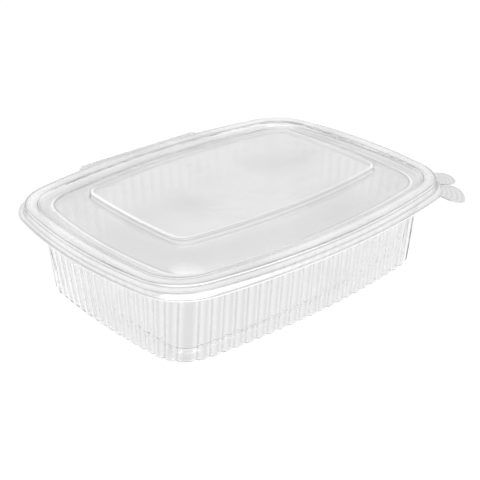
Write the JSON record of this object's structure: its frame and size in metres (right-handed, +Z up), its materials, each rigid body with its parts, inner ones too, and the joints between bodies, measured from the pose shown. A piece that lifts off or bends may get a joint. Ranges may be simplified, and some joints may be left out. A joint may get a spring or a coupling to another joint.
{
  "type": "hinged clear meal container",
  "caption": "Shallow clear plastic meal container with ribbed tray walls, a stepped lid on a live hinge at the back and two finger tabs at one corner.",
  "frame": {"origin": "centre of the tray's flat underside, on the surface it stands on", "axes": "+X along the length, towards the corner tabs' end; +Y towards the hinge; +Z up"},
  "size_m": [0.2319, 0.1866, 0.0598],
  "materials": {
    "clear_tray": "clear, glossy",
    "clear_lid": "clear, glossy"
  },
  "bodies": {
    "tray": {"tray": "clear_tray"},
    "lid": {"lid": "clear_lid"}
  },
  "joints": [
    {"name": "lid_hinge", "type": "hinge", "parent": "tray", "child": "lid", "pos_m": [0, 0.0947, 0.0465], "axis": [-1, 0, 0], "range_deg": [0, 180]}
  ]
}
